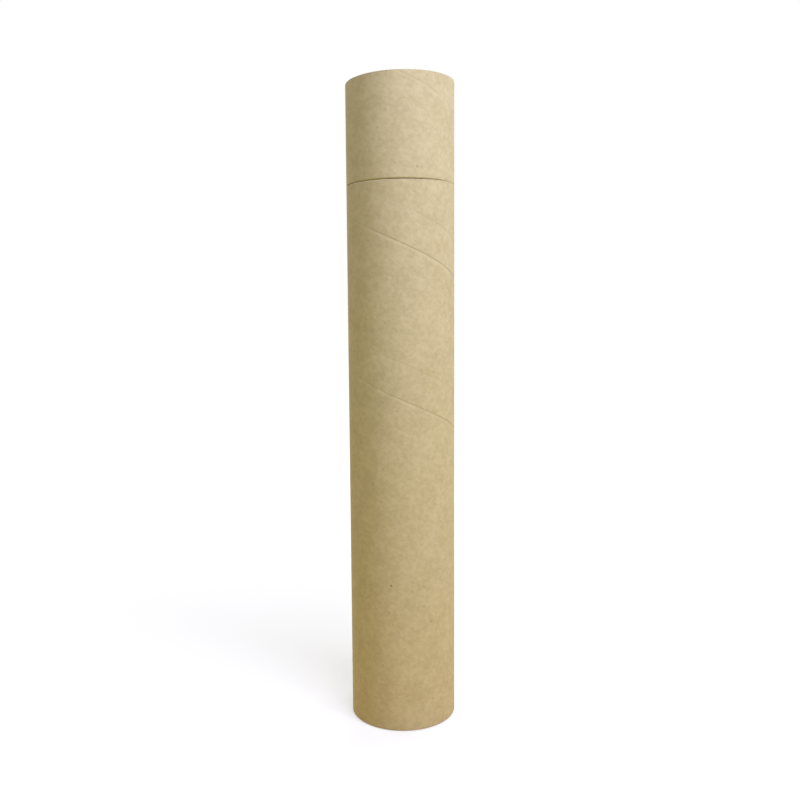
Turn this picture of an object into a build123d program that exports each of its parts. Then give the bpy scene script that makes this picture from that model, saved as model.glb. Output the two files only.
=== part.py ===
from build123d import *

import os
from math import ceil, pi, sqrt

# Kraft paper storage tube: a spiral-wound body and a cap of the same diameter,
# which meet end to end over an inner tube that stands up out of the body.
# Millimetres. The tube stands on its base rim at Z 0, its axis is +Z, and its front faces -Y.

# Overall sizes
outer_diameter = 52.0      # body and cap alike
overall_length = 310.0     # standing, with the cap closed
cap_height = 47.9          # from the closed joint to the cap's top rim

# Body and cap, cut from one spiral-wound tube
wall = 2.0
rim_chamfer = 0.4          # worn corners of each cut rim

# Inner tube, glued into the body for its whole length
liner_wall = 1.5
liner_gap = 0.2            # all round: a glue line in the body, a sliding fit in the cap
liner_rim_chamfer = 0.4    # leads the cap on
neck_height = 38.0         # how far it stands out of the body, into the cap

# Board discs that close both ends
disc_thickness = 2.0
disc_recess = 1.5          # from the rim to the disc's outer face
disc_gap = 0.1             # glue line all round
disc_chamfer = 0.3         # die-cut corner, pressed over

# Outer ply: one strip of kraft paper wound edge to edge, which leaves a fine spiral seam
ply_width = 66.0
ply_thickness = 0.3
seam_gap = 0.5             # between the edges of two turns
body_seam_height = 233.2   # where the body's seam crosses the front
cap_seam_drop = 1.2        # from the cap's top rim to its seam at the front
neck_seam_drop = 12.0      # from the neck's top rim to its seam at the front

# Worked out from the sizes above
outer_radius = outer_diameter / 2
bore_radius = outer_radius - wall
liner_radius = bore_radius - liner_gap
disc_radius = bore_radius - disc_gap
body_height = overall_length - cap_height
liner_foot = disc_recess + disc_thickness
neck_top = body_height + neck_height
cap_disc_foot = overall_length - disc_recess - disc_thickness
quarter_turn_share = 0.25


def ring(radius, thickness, foot, top, corner):
    # A straight tube with chamfered rims, turned from its wall section.
    wall_section = Rectangle(thickness, top - foot)
    section = chamfer(wall_section.vertices(), corner)
    place = Location((radius - thickness / 2, (foot + top) / 2))
    return revolve(Plane.XZ * place * section, Axis.Z)


def winding_pitch(radius):
    # Rise in one turn of a strip that is wound edge to edge at this radius.
    slope = ply_width / (2 * pi * radius)
    return ply_width / sqrt(1 - slope**2)


def spiral_seam(radius, front_height, foot, top):
    # The open butt between two turns, falling to the right across the front, past both rims.
    pitch = winding_pitch(radius)
    right_height = front_height - quarter_turn_share * pitch
    turns_below = ceil((right_height - foot + seam_gap) / pitch)
    start = right_height - turns_below * pitch
    path = Pos(0, 0, start) * Helix(pitch, top + seam_gap - start, radius, lefthand=True)
    across = Plane(path @ 0, x_dir=(1, 0, 0), z_dir=path % 0)
    return sweep(across * Rectangle(2 * ply_thickness, seam_gap), path, is_frenet=True)


def wound_tube(radius, thickness, foot, top, corner, front_height):
    seam = spiral_seam(radius, front_height, foot, top)
    return ring(radius, thickness, foot, top, corner) - seam


def end_disc(foot):
    disc = Pos(0, 0, foot) * Cylinder(
        disc_radius, disc_thickness, align=(Align.CENTER, Align.CENTER, Align.MIN)
    )
    return chamfer(disc.edges().filter_by(GeomType.CIRCLE), disc_chamfer)


parts = {
    "body_tube": wound_tube(outer_radius, wall, 0, body_height, rim_chamfer, body_seam_height),
    "inner_tube": wound_tube(
        liner_radius, liner_wall, liner_foot, neck_top, liner_rim_chamfer, neck_top - neck_seam_drop
    ),
    "base_disc": end_disc(disc_recess),
    "cap_tube": wound_tube(
        outer_radius, wall, body_height, overall_length, rim_chamfer, overall_length - cap_seam_drop
    ),
    "cap_disc": end_disc(cap_disc_foot),
}

os.makedirs("parts", exist_ok=True)
for name, solid in parts.items():
    export_step(solid, f"parts/{name}.step")
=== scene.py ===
import math

import bmesh
import bpy
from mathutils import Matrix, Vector


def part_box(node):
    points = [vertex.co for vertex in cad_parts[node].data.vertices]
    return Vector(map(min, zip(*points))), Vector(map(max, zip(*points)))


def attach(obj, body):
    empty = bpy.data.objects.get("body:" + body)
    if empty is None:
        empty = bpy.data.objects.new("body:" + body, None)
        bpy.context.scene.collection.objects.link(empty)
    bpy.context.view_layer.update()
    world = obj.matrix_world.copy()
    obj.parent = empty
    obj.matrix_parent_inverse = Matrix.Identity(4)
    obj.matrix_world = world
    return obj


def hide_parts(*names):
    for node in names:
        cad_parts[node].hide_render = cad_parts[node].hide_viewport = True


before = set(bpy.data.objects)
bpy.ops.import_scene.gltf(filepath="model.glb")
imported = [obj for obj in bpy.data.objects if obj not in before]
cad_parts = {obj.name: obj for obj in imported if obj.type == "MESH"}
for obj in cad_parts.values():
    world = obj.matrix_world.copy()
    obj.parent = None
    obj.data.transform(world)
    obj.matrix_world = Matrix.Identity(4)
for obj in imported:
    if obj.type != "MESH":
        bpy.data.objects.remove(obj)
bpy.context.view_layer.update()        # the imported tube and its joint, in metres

hair = 1e-6              # two places closer than this are one
fullTurn = 2 * math.pi
softAngle = math.radians(35)          # faces that meet flatter than this are shaded as one
ends = (("footCut", -1), ("topCut", 1))
print("frame loaded:", ", ".join(sorted(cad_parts)))


def dropSelection():
    if bpy.context.object and bpy.context.object.mode != "OBJECT":
        bpy.ops.object.mode_set(mode="OBJECT")
    bpy.ops.object.select_all(action="DESELECT")


def takeUp(*pieces):     # only these are selected, the first one is active
    dropSelection()
    for piece in pieces:
        piece.select_set(True)
    bpy.context.view_layer.objects.active = pieces[0]


def edit(piece):
    takeUp(piece)
    bpy.ops.object.mode_set(mode="EDIT")
    bpy.ops.mesh.select_mode(type="VERT")


def pick(piece, kind, wanted):        # edges or faces, in edit mode
    bpy.ops.mesh.select_mode(type=kind)
    bpy.ops.mesh.select_all(action="DESELECT")
    mesh = bmesh.from_edit_mesh(piece.data)
    for element in mesh.edges if kind == "EDGE" else mesh.faces:
        if wanted(element):
            element.select_set(True)
    bmesh.update_edit_mesh(piece.data)


def press(piece, kind, settings):     # a modifier, set up and applied
    takeUp(piece)
    made = piece.modifiers.new(kind.lower(), kind)
    for name, value in settings.items():
        setattr(made, name, value)
    bpy.ops.object.modifier_apply(modifier=made.name)


def between(start, end, share):
    return start + (end - start) * share


def ease(low, high, value):           # 0 below low, 1 above high, smooth between
    share = min(1, max(0, (value - low) / (high - low)))
    return share * share * (3 - 2 * share)


def facingAt(turned):                 # degrees to the right of the front, as an angle from +X
    return math.radians(turned - 90)


def screenColour(red, green, blue):   # 0-255 as seen on a screen, made linear
    def linear(level):
        level /= 255
        return level / 12.92 if level <= 0.04045 else ((level + 0.055) / 1.055) ** 2.4
    return linear(red), linear(green), linear(blue), 1


# Winding: one strip of kraft paper, edge to edge, so its butt runs round as a spiral

winding = {
    "plyWidth": 0.066,
    "plainStep": 0.0045,        # between loops on the plain paper
    "stepsRound": 192,
    "slack": 0.002,             # wound past both ends, then trimmed
}
butt = {
    "nap": 0.00005,             # the plain paper lies this far below the lifted edges
    "half": 0.00042,            # half the butt's width, measured up the wall
    "depth": 0.00017,
    "upperShares": ((0, 1), (0.45, 0.7)),                        # of the half width, of the depth
    "upperPlainShares": (1, 2),                                  # of the half width, plain paper there
    "lowerShares": ((0, 1), (0.6, 0.75), (1.6, 0.3), (3, 0)),    # lifted, and worn rounder
    "lowerPlainShares": (5.5,),
    "ridgeFall": 0.0011,        # a highlight is painted pale along the lifted lower edge, this far down
    "ridgeHalf": 0.0007,
    "ghostRise": 0.0172,        # the butt of the ply below shows through as a shallow trough, this far up; its shade is also painted
    "ghostHalf": 0.0010,
    "ghostDepth": 0.00006,
    "ghostShares": ((-1, 0), (-0.5, 0.6), (0, 1), (0.5, 0.6), (1, 0)),
}


def pitchAt(radius):            # rise in one turn
    slope = winding["plyWidth"] / (fullTurn * radius)
    return winding["plyWidth"] / math.sqrt(1 - slope ** 2)


def seamAtRight(wrap):          # a quarter turn on from the front, at +X
    return wrap["seamFront"] - pitchAt(wrap["radius"]) / 4


def buttEdge(edge):             # (distance from the butt, drop) pairs, out to the plain paper
    worn = [(share * butt["half"], drop * butt["depth"]) for share, drop in butt[edge + "Shares"]]
    return worn + [(share * butt["half"], butt["nap"]) for share in butt[edge + "PlainShares"]]


def stripStations(pitch, ghost):                     # (rise, drop) pairs from one butt up to the next
    stations = buttEdge("upper") + [(pitch - fall, drop) for fall, drop in buttEdge("lower")]
    if ghost:
        for share, drop in butt["ghostShares"]:
            rise = butt["ghostRise"] + share * butt["ghostHalf"]
            stations.append((rise, butt["nap"] + drop * butt["ghostDepth"]))
    taken = sorted(rise for rise, drop in stations)
    for low, high in zip(taken, taken[1:]):
        cuts = int((high - low) / winding["plainStep"])
        stations += [(between(low, high, (cut + 1) / (cuts + 1)), butt["nap"]) for cut in range(cuts)]
    return sorted(stations)


def windStrip(name, wrap, radius, side):             # side 1 is an outer face, -1 a bore
    pitch = pitchAt(wrap["radius"])
    lapsAbove = math.ceil((wrap["top"] + winding["slack"] - seamAtRight(wrap)) / pitch)
    startHeight = seamAtRight(wrap) + pitch * lapsAbove
    turns = math.ceil((startHeight - wrap["foot"] + winding["slack"]) / pitch) + 1
    stations = stripStations(pitch, wrap["ghost"] and side == 1)
    dropSelection()
    bpy.ops.mesh.primitive_plane_add(size=winding["slack"])
    strip = bpy.context.object
    strip.name = name
    edit(strip)
    bpy.ops.mesh.select_all(action="SELECT")
    bpy.ops.mesh.merge(type="CENTER")                # one vertex, drawn out up the strip
    bpy.ops.transform.translate(value=(radius - side * stations[0][1], 0, startHeight))
    for (rise, drop), (nextRise, nextDrop) in zip(stations, stations[1:]):
        step = (side * (drop - nextDrop), 0, nextRise - rise)
        bpy.ops.mesh.extrude_vertices_move(TRANSFORM_OT_translate={"value": step})
    bpy.ops.object.mode_set(mode="OBJECT")
    press(strip, "SCREW", {
        "axis": "Z", "angle": fullTurn, "screw_offset": -pitch, "iterations": turns,
        "steps": winding["stepsRound"], "render_steps": winding["stepsRound"],
    })
    edit(strip)
    bpy.ops.mesh.select_all(action="SELECT")
    bpy.ops.mesh.remove_doubles(threshold=hair)
    bpy.ops.object.mode_set(mode="OBJECT")
    return strip


def drawRound(strip, group, radius):                 # pulls the group's vertices onto this radius
    press(strip, "CAST", {
        "cast_type": "CYLINDER", "use_z": False, "factor": 1, "use_radius_as_size": False,
        "size": radius, "vertex_group": group,
    })


def shutButt(strip, wrap, plain):                    # it stands open on one side and shuts lower down
    shut = strip.vertex_groups.new(name="shut")
    for vert in strip.data.vertices:
        if abs(plain - math.hypot(vert.co.x, vert.co.y)) > hair:
            facing = math.atan2(vert.co.y, vert.co.x) - wrap["openSide"]
            spread = between(wrap["openLeast"], 1, (0.5 + 0.5 * math.cos(facing)) ** 2)
            spread *= wrap["open"] * ease(wrap["shutBelow"], wrap["openAbove"], vert.co.z)
            shut.add([vert.index], 1 - spread, "REPLACE")
    drawRound(strip, "shut", plain)


# Cut ends: sawn a little out of square, with worn corners

lip = {
    "soft": 0.0005,             # radius of the worn corner
    "loops": 4,
    "support": 0.0007,          # from the corner to the last plain loop
    "sawSlop": 1e-7,
    "crumb": 0.00002,           # shorter edges are taken out after the cut
    "merge": 0.000005,
}


def cutHeight(cut, place):
    return cut["height"] + cut["leanRight"] * place.x - cut["leanFront"] * place.y


def offCut(cut, place):
    return abs(place.z - cutHeight(cut, place))


def sunk(cut, radius):          # a leaning cut's middle lies this far below its high side
    return math.hypot(cut["leanRight"], cut["leanFront"]) * radius


def pickRim(piece, cut, reach):                      # the open edges along one cut
    def wanted(edge):
        first, second = edge.verts
        return edge.is_boundary and offCut(cut, (first.co + second.co) / 2) < reach
    pick(piece, "EDGE", wanted)


def rimVerts(piece, cut):                            # the worn corner's vertices, and where they face
    for vert in piece.data.vertices:
        if offCut(cut, vert.co) < lip["soft"] + hair:
            yield vert.index, math.atan2(vert.co.y, vert.co.x)


def trim(strip, radius, side, wrap):
    soft = lip["soft"]
    for end, up in ends:
        cut = wrap[end]
        upright = (-cut["leanRight"], cut["leanFront"], 1)
        for inset, clear in ((soft, True), (soft + lip["support"], False)):
            edit(strip)
            bpy.ops.mesh.select_all(action="SELECT")
            bpy.ops.mesh.bisect(
                plane_co=(0, 0, cut["height"] - up * inset), plane_no=upright, threshold=lip["sawSlop"],
                clear_outer=clear and up == 1, clear_inner=clear and up == -1,
            )
        bpy.ops.mesh.select_all(action="SELECT")
        bpy.ops.mesh.dissolve_degenerate(threshold=lip["crumb"])
        pickRim(strip, cut, 2 * soft)
        for loop in range(lip["loops"]):             # the worn corner, a quarter round
            before, after = (math.radians(90 * (loop + step) / lip["loops"]) for step in (0, 1))
            rise = up * soft * (math.sin(after) - math.sin(before))
            reach = [radius - side * soft * (1 - math.cos(turn)) for turn in (before, after)]
            bpy.ops.mesh.extrude_region_move(TRANSFORM_OT_translate={"value": (0, 0, rise)})
            share = reach[1] / reach[0]
            bpy.ops.transform.resize(value=(share, share, 1), center_override=(0, 0, cut["height"]))
        bpy.ops.object.mode_set(mode="OBJECT")


def tighten(strip, cut, plain):                      # to the right a closed joint is hardly worn
    sharp = strip.vertex_groups.new(name="sharp")
    for index, facing in rimVerts(strip, cut):
        sharp.add([index], cut["tight"] * max(0, math.cos(facing)), "REPLACE")
    drawRound(strip, "sharp", plain)
    strip.vertex_groups.clear()


def fray(piece, cut, up):                            # a paper rim is never dead straight
    rim = piece.vertex_groups.new(name="rim")
    for index, facing in rimVerts(piece, cut):
        right = 0.5 + 0.5 * math.sin(facing - cut["wideSide"])
        least = between(cut["leftLeast"], cut["rightLeast"], right)
        power = between(cut["leftPower"], cut["rightPower"], right)
        wide = max(0, math.cos(facing - cut["wideSide"])) ** power
        rim.add([index], between(least, 1, wide), "REPLACE")
    rimGrain = bpy.data.textures.new("rimGrain", "CLOUDS")
    rimGrain.noise_scale = cut["grain"]
    press(piece, "DISPLACE", {
        "direction": "Z", "texture": rimGrain, "texture_coords": "LOCAL", "vertex_group": "rim",
        "strength": up * cut["fray"], "mid_level": 1,
    })
    piece.vertex_groups.clear()


def woundTube(name, wrap):
    outerPlain, borePlain = wrap["radius"] - butt["nap"], wrap["bore"] + butt["nap"]
    outer = windStrip(name, wrap, wrap["radius"], 1)
    shutButt(outer, wrap, outerPlain)
    inner = windStrip(name + "Bore", wrap, wrap["bore"], -1)
    trim(outer, outerPlain, 1, wrap)
    for end, up in ends:
        tighten(outer, wrap[end], outerPlain)
    trim(inner, borePlain, -1, wrap)
    takeUp(outer, inner)
    bpy.ops.object.join()
    edit(outer)
    for end, up in ends:                             # the sawn end, between the two corners
        pickRim(outer, wrap[end], lip["soft"])
        bpy.ops.mesh.fill(use_beauty=True)
    bpy.ops.object.mode_set(mode="OBJECT")
    for end, up in ends:
        fray(outer, wrap[end], up)
    edit(outer)
    bpy.ops.mesh.select_all(action="SELECT")
    bpy.ops.mesh.remove_doubles(threshold=lip["merge"])
    bpy.ops.mesh.normals_make_consistent(inside=False)
    bpy.ops.object.mode_set(mode="OBJECT")
    bpy.ops.object.shade_smooth_by_angle(angle=softAngle)
    print(name, "wound:", len(outer.data.polygons), "faces")
    return outer


def nodeTube(node):
    low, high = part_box(node)
    bore = min(math.hypot(vert.co.x, vert.co.y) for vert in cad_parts[node].data.vertices)
    return {"radius": high.x, "bore": bore, "foot": low.z, "top": high.z}


frontLeft, frontRight, rightSide = facingAt(-40), facingAt(14), facingAt(48)
wornRim = {
    "wideSide": frontRight,                          # most worn here, and less to both sides of it
    "leftLeast": 0.33, "rightLeast": 0.06,
    "leftPower": 2, "rightPower": 9,
    "tight": 0,
    "rimDarkSides": (0.7, 0.97, 0.3, 1),               # how squarely it faces the worn side, then the share
    "rimDarkCore": 0.0003, "rimDarkRag": 0.0004,
}
closedJoint = {
    **wornRim, "leanRight": 0.0105, "leanFront": 0, "fray": 0.00015, "grain": 0.004,
    "rimDark": 0.27, "rimDarkReach": 0.0013, "tight": 0.8,
}
cleanEnd = {
    **wornRim, "leanRight": 0, "leanFront": 0, "fray": 0.00012, "grain": 0.006,
    "rimDark": 0.15, "rimDarkReach": 0.0007,
}
leaningEnd = {
    **cleanEnd, "leanRight": 0.0205, "leanFront": 0.006, "wideSide": frontLeft,
    "rimDark": 0.5, "rimDarkReach": 0.0012,
}

# specks are bits of bark: turn from the front in degrees, height, half width, darkness
bodyWrap = nodeTube("body_tube")
bodyWrap |= {
    "seamFront": 0.2332,        # height where the butt crosses the front
    "ghost": True,
    "open": 1, "openSide": rightSide, "openLeast": 0.18, "darkLeast": 0.05,
    "shutBelow": 0.050, "openAbove": 0.190,
    "footCut": {**cleanEnd, "height": bodyWrap["foot"]},
    "topCut": {**closedJoint, "height": bodyWrap["top"] - sunk(closedJoint, bodyWrap["radius"])},
    "specks": ((-12.3, 0.0723, 0.00045, 0.75), (30.7, 0.0535, 0.00045, 0.4)),
}
capWrap = nodeTube("cap_tube")
capWrap |= {
    "seamFront": 0.3088,
    "ghost": False,
    "open": 0.5, "openSide": frontRight, "openLeast": 0.15, "darkLeast": 0.15,
    "shutBelow": 0.285, "openAbove": 0.315,
    "footCut": {**closedJoint, "height": capWrap["foot"] - sunk(closedJoint, capWrap["radius"])},
    "topCut": {**leaningEnd, "height": capWrap["top"] - sunk(leaningEnd, capWrap["radius"])},
    "specks": ((17.3, 0.2673, 0.0005, 0.35),),
}
neckWrap = nodeTube("inner_tube")
neckWrap |= {
    "seamFront": 0.2881,
    "ghost": False,
    "open": 0.8, "openSide": rightSide, "openLeast": 0.4, "darkLeast": 0.4,
    "shutBelow": 0, "openAbove": 0.010,
    "footCut": {**cleanEnd, "height": neckWrap["foot"]},
    "topCut": {**cleanEnd, "height": neckWrap["top"]},
    "specks": (),
}

woundBody = woundTube("woundBody", bodyWrap)
woundCap = woundTube("woundCap", capWrap)
gluedNeck = woundTube("gluedNeck", neckWrap)


# End boards: die-cut discs pressed into the two ends

board = {
    "sides": 160,
    "edgeSoft": 0.00035, "edgeLoops": 3,
    "pressedRing": 0.0016,
    "dish": 0.00025, "dishRings": 3,
    "faceUp": 0.999,            # the normal's share of Z on the two flat faces
}


def endBoard(name, node):
    low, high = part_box(node)
    dropSelection()
    bpy.ops.mesh.primitive_cylinder_add(
        vertices=board["sides"], radius=high.x, depth=high.z - low.z, location=(0, 0, (low.z + high.z) / 2),
    )
    disc = bpy.context.object
    disc.name = name
    bpy.ops.object.transform_apply(location=True, rotation=True, scale=True)
    edit(disc)
    pick(disc, "EDGE", lambda edge: abs(edge.verts[0].co.z - edge.verts[1].co.z) < hair)
    bpy.ops.mesh.bevel(offset=board["edgeSoft"], segments=board["edgeLoops"], affect="EDGES")
    pick(disc, "FACE", lambda face: abs(face.normal.z) > board["faceUp"])
    bpy.ops.mesh.inset(thickness=board["pressedRing"], depth=0)
    ringWidth = (high.x - board["pressedRing"]) / (board["dishRings"] + 1)
    for ring in range(board["dishRings"]):           # the face dips a little to its middle
        bpy.ops.mesh.inset(thickness=ringWidth, depth=-board["dish"] / board["dishRings"])
    bpy.ops.object.mode_set(mode="OBJECT")
    bpy.ops.object.shade_smooth_by_angle(angle=softAngle)
    print(name, "cut:", len(disc.data.polygons), "faces")
    return disc


footDisc = endBoard("footDisc", "base_disc")
lidDisc = endBoard("lidDisc", "cap_disc")


# Finishes

class Wire:                           # a node's output that can be used in sums
    def __init__(self, finish, socket):
        self.finish, self.socket = finish, socket

    def sum(self, operation, *values):
        return self.finish.node("Math", {"operation": operation}, dict(enumerate(values)))

    def __add__(self, other):
        return self.sum("ADD", self, other)

    def __sub__(self, other):
        return self.sum("SUBTRACT", self, other)

    def __rsub__(self, other):
        return self.sum("SUBTRACT", other, self)

    def __mul__(self, other):
        return self.sum("MULTIPLY", self, other)

    def __truediv__(self, other):
        return self.sum("DIVIDE", self, other)

    def __abs__(self):
        return self.sum("ABSOLUTE", self)

    __radd__ = __add__
    __rmul__ = __mul__

    def floor(self):
        return self.sum("FLOOR", self)

    def least(self, other):
        return self.sum("MINIMUM", self, other)

    def most(self, other):
        return self.sum("MAXIMUM", self, other)

    def eased(self, low, high, start=0, end=1):
        values = {"Value": self, "From Min": low, "From Max": high, "To Min": start, "To Max": end}
        return self.finish.node("MapRange", {"interpolation_type": "SMOOTHSTEP"}, values)

    def output(self, name):           # another output of the same node
        return Wire(self.finish, self.socket.node.outputs[name])


class Finish:                         # one material, or the world, and its nodes
    def __init__(self, owner):
        self.owner = bpy.data.materials.new(owner) if isinstance(owner, str) else owner
        self.owner.use_nodes = True
        self.tree = self.owner.node_tree
        self.shader = self.tree.nodes.get("Principled BSDF")

    def node(self, kind, settings=None, values=None, output=0):
        made = self.tree.nodes.new("ShaderNode" + kind)
        for name, value in (settings or {}).items():
            setattr(made, name, value)
        self.feed(made, values or {})
        return Wire(self, made.outputs[output])

    def feed(self, made, values):
        for name, value in values.items():
            if isinstance(value, Wire):
                self.tree.links.new(value.socket, made.inputs[name])
            else:
                made.inputs[name].default_value = value

    def blend(self, share, first, second):
        return self.node("Mix", {"data_type": "RGBA"}, {0: share, 6: first, 7: second}, output=2)

    def place(self):
        return self.node("TexCoord", output="Object")

    def axes(self):
        x = self.node("SeparateXYZ", None, {"Vector": self.place()})
        return x, x.output("Y"), x.output("Z")

    def noise(self, place, scale, detail, roughness):
        values = {"Vector": place, "Scale": scale, "Detail": detail, "Roughness": roughness}
        return self.node("TexNoise", None, values)

    def seen(self):                   # 1 where it is looked at, 0 where it only lights the tube
        camera = self.node("LightPath", output="Is Camera Ray")
        return camera.most(camera.output("Is Glossy Ray")).most(camera.output("Is Transmission Ray"))


kraft = {
    "pale": screenColour(209, 195, 165),
    "deep": screenColour(190, 175, 142),
    # dark brown: painted shade and glue dust along the butts, also the darker rims and the ply rings
    "seam": screenColour(112, 96, 66),
    "fleck": screenColour(120, 100, 68),
    "paintedHighlight": screenColour(222, 210, 180),
    "cut": screenColour(176, 154, 112),
    "specular": 0.3,
}
grain = {                             # noise: scale for a place in millimetres, detail, roughness
    "toMillimetres": 1000,
    "clouds": (0.11, 2, 0.5), "cloudShare": 0.22,
    "mottle": (0.36, 4, 0.56), "mottleShare": 0.34,
    "fibres": (1.0, 4, 0.50), "fibreShare": 0.22,
    "fibreDraw": (0.55, 0.80, 1),     # drawn out along the strip
    "felt": (1.0, 1, 0.5), "feltShare": 0.22,
    "feltSize": (1.8, 0.22, 1),       # fine fibres, which lie two ways
    "feltTurns": (0.35, -0.55),
    "contrast": (0.372, 0.628),
    "strandEdges": (0.006, 0.04, 1, 0), "strandPatches": (0.45, 0.6), "strandDark": 0.1,
    "fleckCells": 0.32, "fleckEdges": (0.06, 0.30, 1, 0), "fleckPatches": (0.45, 0.6), "fleckDark": 0.25,
    "rough": 0.65, "roughSpread": 0.2,
    "bump": (0.22, 0.00006),          # strength, depth
}
paintedLightAndMarks = {                              # painted highlight and shade along the butts, glue dust, specks; patches: mottle from and to, then the share there
    "ridgePatches": (0.4, 0.6, 0.16, 0.06),
    "linePatches": (0.3, 0.55, 0.6, 1),
    "ghostPatches": (0.35, 0.6, 0.02, 0.12),
    "lineDark": 0.2,
    "lineEdgeShares": (0.6, 2),       # of the butt's half width, from dark to clean
    "lineRag": 0.0002,
    "core": 0.0001,                   # full strength as near the middle as this
    "speckSoftShare": 2.2,            # of a speck's half width
}
sawn = {
    "plyThick": 0.0004,
    "fuzz": (900, 3, 0.6), "fuzzContrast": (0.35, 0.65),
    "ringShift": 0.35,                # the plies wander by this share of one
    "ringEdges": (0.3, 0.5), "ringDark": 0.55,
    "rough": 0.85, "roughSpread": 0.1,
    "bump": (0.5, 0.00008),
    "faceUp": 0.9,                    # the normal's share of Z on a sawn end
}


def stripPlace(finish, wrap):         # where a point lies on the flat strip, in metres
    pitch, girth = pitchAt(wrap["radius"]), fullTurn * wrap["radius"]
    helix = math.atan(pitch / girth)
    x, y, z = finish.axes()
    facing = y.sum("ARCTAN2", y, x)
    turn = facing / fullTurn
    lap = (z - seamAtRight(wrap)) / pitch + turn
    lapIndex = lap.floor()
    across = (lap - lapIndex) * pitch
    unrolled = (turn - lapIndex) * girth
    along = unrolled * math.cos(helix) - (z - seamAtRight(wrap)) * math.sin(helix)
    flat = finish.node("CombineXYZ", None, {"X": along, "Y": across * math.cos(helix), "Z": 0})
    return flat, across, pitch, facing, z


def felted(finish, millimetres, turned):              # fine fibres that lie one way
    lying = finish.node("Mapping", {"vector_type": "TEXTURE"}, {
        "Vector": millimetres, "Rotation": (0, 0, turned), "Scale": grain["feltSize"],
    })
    return finish.noise(lying, *grain["felt"])


def paperGrain(finish, flat):         # colour, mottle and fibres of plain kraft paper
    millimetres = finish.node("VectorMath", {"operation": "SCALE"}, {
        0: flat, "Scale": grain["toMillimetres"],
    })
    drawn = finish.node("Mapping", None, {"Vector": millimetres, "Scale": grain["fibreDraw"]})
    clouds = finish.noise(millimetres, *grain["clouds"])
    mottle = finish.noise(millimetres, *grain["mottle"])
    fibres = finish.noise(drawn, *grain["fibres"])
    rising, falling = (felted(finish, millimetres, turned) for turned in grain["feltTurns"])
    felt = rising * 0.5 + falling * 0.5
    shade = clouds * grain["cloudShare"] + mottle * grain["mottleShare"]
    shade = shade + fibres * grain["fibreShare"] + felt * grain["feltShare"]
    colour = finish.blend(shade.eased(*grain["contrast"]), kraft["deep"], kraft["pale"])
    strands = abs(rising - 0.5).least(abs(falling - 0.5)).eased(*grain["strandEdges"])
    strands = strands * fibres.eased(*grain["strandPatches"])
    colour = finish.blend(strands * grain["strandDark"], colour, kraft["fleck"])
    cells = finish.node("TexVoronoi", None, {
        "Vector": drawn, "Scale": grain["fleckCells"], "Randomness": 1,
    })
    flecks = cells.eased(*grain["fleckEdges"]) * mottle.eased(*grain["fleckPatches"])
    colour = finish.blend(flecks * grain["fleckDark"], colour, kraft["fleck"])
    return colour, mottle, fibres * 0.5 + felt * 0.5


def rimDarkening(finish, cut, mottle):    # darker near each cut end, most on the worn side
    x, y, z = finish.axes()
    off = abs(z - x * cut["leanRight"] + y * cut["leanFront"] - cut["height"])
    worn = y.sum("COSINE", y.sum("ARCTAN2", y, x) - cut["wideSide"]).eased(*cut["rimDarkSides"])
    edge = (off + mottle * cut["rimDarkRag"]).eased(cut["rimDarkCore"], cut["rimDarkReach"], 1, 0)
    return edge * worn * cut["rimDark"]


def coat(finish, colour, rough, height, bump):
    strength, depth = bump
    normal = finish.node("Bump", None, {"Strength": strength, "Distance": depth, "Height": height})
    finish.feed(finish.shader, {
        "Base Color": colour, "Roughness": rough, "Normal": normal, "Specular IOR Level": kraft["specular"],
    })
    return finish.owner


def coatPaper(finish, colour, mottle, fibres):
    rough = mottle * grain["roughSpread"] + grain["rough"]
    return coat(finish, colour, rough, fibres * 0.5 + mottle * 0.5, grain["bump"])


def woundPaper(name, wrap):
    finish = Finish(name)
    flat, across, pitch, facing, z = stripPlace(finish, wrap)
    colour, mottle, fibres = paperGrain(finish, flat)
    for end, up in ends:
        colour = finish.blend(rimDarkening(finish, wrap[end], mottle), colour, kraft["seam"])
    spread = z.eased(wrap["shutBelow"], wrap["openAbove"]) * wrap["open"]
    below = pitch - across
    # painted highlight: the lifted lower edge below each butt is coloured paler
    ridgeHighlight = abs(below - butt["ridgeFall"]).eased(paintedLightAndMarks["core"], butt["ridgeHalf"], 1, 0)
    ridgeHighlight = ridgeHighlight * spread * mottle.eased(*paintedLightAndMarks["ridgePatches"])
    colour = finish.blend(ridgeHighlight, colour, kraft["paintedHighlight"])
    side = facing.sum("COSINE", facing - wrap["openSide"]) * 0.5 + 0.5
    dark = spread * (side * side * side * (1 - wrap["darkLeast"]) + wrap["darkLeast"])
    # painted shade and glue dust in the butt groove: a dark line, strongest on the groove's open side
    darkWithin, cleanBeyond = (share * butt["half"] for share in paintedLightAndMarks["lineEdgeShares"])
    line = (across.least(below) + fibres * paintedLightAndMarks["lineRag"]).eased(darkWithin, cleanBeyond, 1, 0)
    line = line * dark * mottle.eased(*paintedLightAndMarks["linePatches"])
    colour = finish.blend(line * paintedLightAndMarks["lineDark"], colour, kraft["seam"])
    if wrap["ghost"]:
        # painted shade: the trough over the butt below is coloured faintly darker
        ghost = abs(across - butt["ghostRise"]).eased(paintedLightAndMarks["core"], butt["ghostHalf"], 1, 0)
        ghost = ghost * dark * mottle.eased(*paintedLightAndMarks["ghostPatches"])
        colour = finish.blend(ghost, colour, kraft["seam"])
    for turned, height, half, darkness in wrap["specks"]:
        aim = facingAt(turned)
        place = (wrap["radius"] * math.cos(aim), wrap["radius"] * math.sin(aim), height)
        gap = finish.node("VectorMath", {"operation": "DISTANCE"}, {
            0: finish.place(), 1: place,
        }, output="Value")
        speck = (gap + mottle * half).eased(half, half * paintedLightAndMarks["speckSoftShare"], darkness, 0)
        colour = finish.blend(speck, colour, kraft["fleck"])
    return coatPaper(finish, colour, mottle, fibres)


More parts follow.
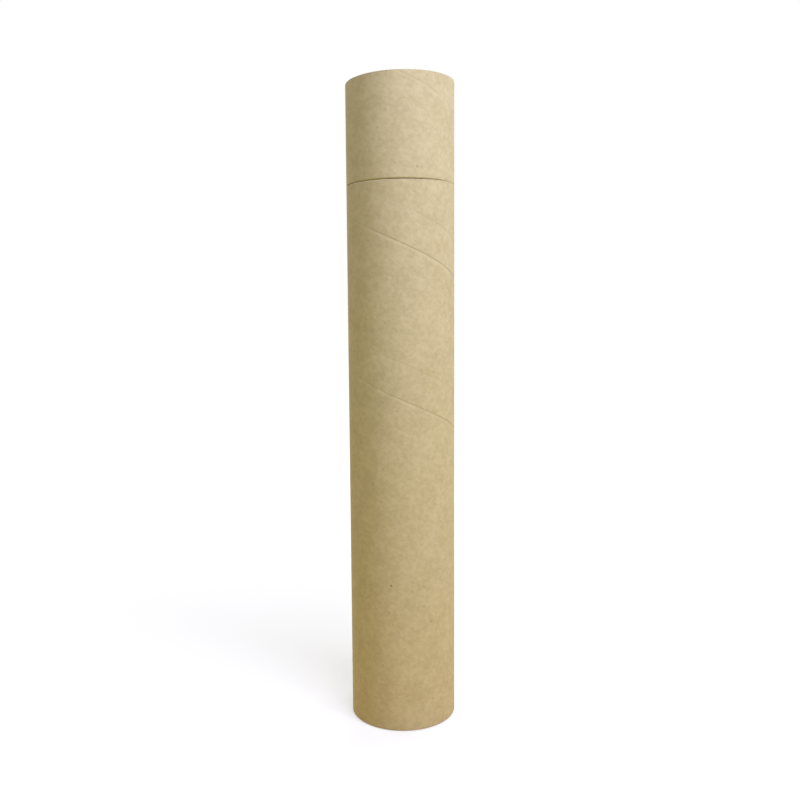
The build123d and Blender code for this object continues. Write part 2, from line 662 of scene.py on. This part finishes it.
def cutPaper(name, outerRadius):      # a sawn end, where the plies show as rings
    finish = Finish(name)
    x, y, z = finish.axes()
    radius = x.sum("SQRT", x * x + y * y)
    fuzz = finish.noise(finish.place(), *sawn["fuzz"])
    plies = (outerRadius - radius) / sawn["plyThick"] + fuzz * sawn["ringShift"]
    ring = abs(plies - plies.floor() - 0.5).eased(*sawn["ringEdges"])
    colour = finish.blend(fuzz.eased(*sawn["fuzzContrast"]), kraft["cut"], kraft["deep"])
    colour = finish.blend(ring * sawn["ringDark"], colour, kraft["seam"])
    rough = fuzz * sawn["roughSpread"] + sawn["rough"]
    return coat(finish, colour, rough, fuzz - ring * 0.5, sawn["bump"])


def boardPaper(name):
    finish = Finish(name)
    return coatPaper(finish, *paperGrain(finish, finish.place()))


dressing = (
    (woundBody, "body_tube", "tube", "kraft_wrap", bodyWrap),
    (gluedNeck, "inner_tube", "tube", "kraft_liner", neckWrap),
    (footDisc, "base_disc", "tube", "disc_board", None),
    (woundCap, "cap_tube", "cap", "kraft_wrap", capWrap),
    (lidDisc, "cap_disc", "cap", "disc_board", None),
)
for piece, node, body, slot, wrap in dressing:
    if wrap:
        piece.data.materials.append(woundPaper(piece.name + "Paper", wrap))
        piece.data.materials.append(cutPaper(piece.name + "Cut", wrap["radius"]))
        for face in piece.data.polygons:
            face.material_index = 1 if abs(face.normal.z) > sawn["faceUp"] else 0
    else:
        piece.data.materials.append(boardPaper(piece.name + "Paper"))
    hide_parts(node)
    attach(piece, body)
print("dressed")


# Studio: white floor and surround, a broad lamp high on the right, a weak low one, and three behind

studio = {
    "floorSide": 6.0,
    "floorDrop": 0.0002,
    "floorSeen": (0.55, 0.55, 0.55, 1),       # as the camera sees it
    "nearBounce": (0.73, 0.53, 0.05, 1),      # a warm table top, as the tube sees it
    "farBounce": (0.70, 0.67, 0.05, 1),
    "bounceReach": (0.05, 0.45),              # from near to far, out from the tube
    "nearGlow": 0.48, "farGlow": 0.90,        # lifts it to white, less where the lamps reach
    "glowReach": (0.1, 1.1),
    "surround": (0.248, 0.24, 0.215, 1),      # as the tube sees it
    "surroundSeen": (1, 1, 1, 1),
    "aim": (0, 0, 0.16),
}
lamps = {                                     # turned to the right of the front, in degrees
    "keyHigh": {
        "turned": 30, "distance": 0.45, "height": 0.73,
        "size": (0.45, 0.30), "watts": 4.4, "colour": (1, 1.01, 1.25),
    },
    "lowRight": {
        "turned": 55, "distance": 0.50, "height": 0.24,
        "size": (0.25, 0.15), "watts": 0.30, "colour": (1, 1, 1),
    },
    "rimRight": {
        "turned": 125, "distance": 0.50, "height": 0.40,
        "size": (0.25, 0.35), "watts": 0.67, "colour": (1, 1, 1),
    },
    "rimLeft": {
        "turned": -125, "distance": 0.60, "height": 0.45,
        "size": (0.30, 0.50), "watts": 0.95, "colour": (1, 0.96, 1.02),
    },
    "backFill": {
        "turned": 180, "distance": 0.60, "height": 0.55,
        "size": (0.50, 0.40), "watts": 1.6, "colour": (1, 1, 1),
    },
}


def whiteFloor():
    dropSelection()
    bpy.ops.mesh.primitive_plane_add(size=studio["floorSide"], location=(0, 0, -studio["floorDrop"]))
    floor = bpy.context.object
    floor.name = "floor"
    finish = Finish("floorWhite")
    seen = finish.seen()
    away = finish.node("VectorMath", {"operation": "LENGTH"}, {0: finish.place()}, output="Value")
    bounce = finish.blend(away.eased(*studio["bounceReach"]), studio["nearBounce"], studio["farBounce"])
    finish.feed(finish.shader, {
        "Base Color": finish.blend(seen, bounce, studio["floorSeen"]),
        "Roughness": 1, "Specular IOR Level": 0,
    })
    lift = away.eased(*studio["glowReach"], studio["nearGlow"], studio["farGlow"])
    glow = finish.node("Emission", None, {"Strength": seen * lift})
    lit = finish.node("AddShader", None, {0: Wire(finish, finish.shader.outputs[0]), 1: glow})
    below = finish.node("NewGeometry", output="Backfacing")           # clear when looked at from below
    clear = finish.node("BsdfTransparent")
    surface = finish.node("MixShader", None, {0: below, 1: lit, 2: clear})
    finish.feed(finish.tree.nodes["Material Output"], {"Surface": surface})
    floor.data.materials.append(finish.owner)


def whiteSurround():
    world = bpy.data.worlds.new("surround")
    bpy.context.scene.world = world
    finish = Finish(world)
    colour = finish.blend(finish.seen(), studio["surround"], studio["surroundSeen"])
    finish.feed(finish.tree.nodes["Background"], {"Color": colour, "Strength": 1})


def hangLamp(name, turned, distance, height, size, watts, colour):
    aim = facingAt(turned)
    dropSelection()
    place = Vector((distance * math.cos(aim), distance * math.sin(aim), height))
    bpy.ops.object.light_add(type="AREA", location=place)
    lamp = bpy.context.object
    lamp.name = name
    lamp.data.shape = "RECTANGLE"
    lamp.data.size, lamp.data.size_y = size
    lamp.data.energy = watts
    lamp.data.color = colour
    lamp.rotation_euler = (Vector(studio["aim"]) - place).to_track_quat("-Z", "Y").to_euler()


whiteFloor()
whiteSurround()
for name, setting in lamps.items():
    hangLamp(name, **setting)
print("studio lit")


# Camera, from the tube's outline in the picture

view = {
    "place": (-0.0002, -0.42087, 0.20292),
    "lens": 38.518,
    "pitch": math.radians(90) - 0.1055,       # a little down from level
    "turn": 0.0015,
    "lean": -0.0067,
    "nearest": 0.01,
}
dropSelection()
bpy.ops.object.camera_add(location=view["place"], rotation=(view["pitch"], 0, view["turn"]))
camera = bpy.context.object
camera.rotation_euler.rotate_axis("Z", view["lean"])
camera.data.lens = view["lens"]
camera.data.clip_start = view["nearest"]
bpy.context.scene.camera = camera
bpy.context.scene.view_settings.view_transform = "Standard"

print("scene ready")
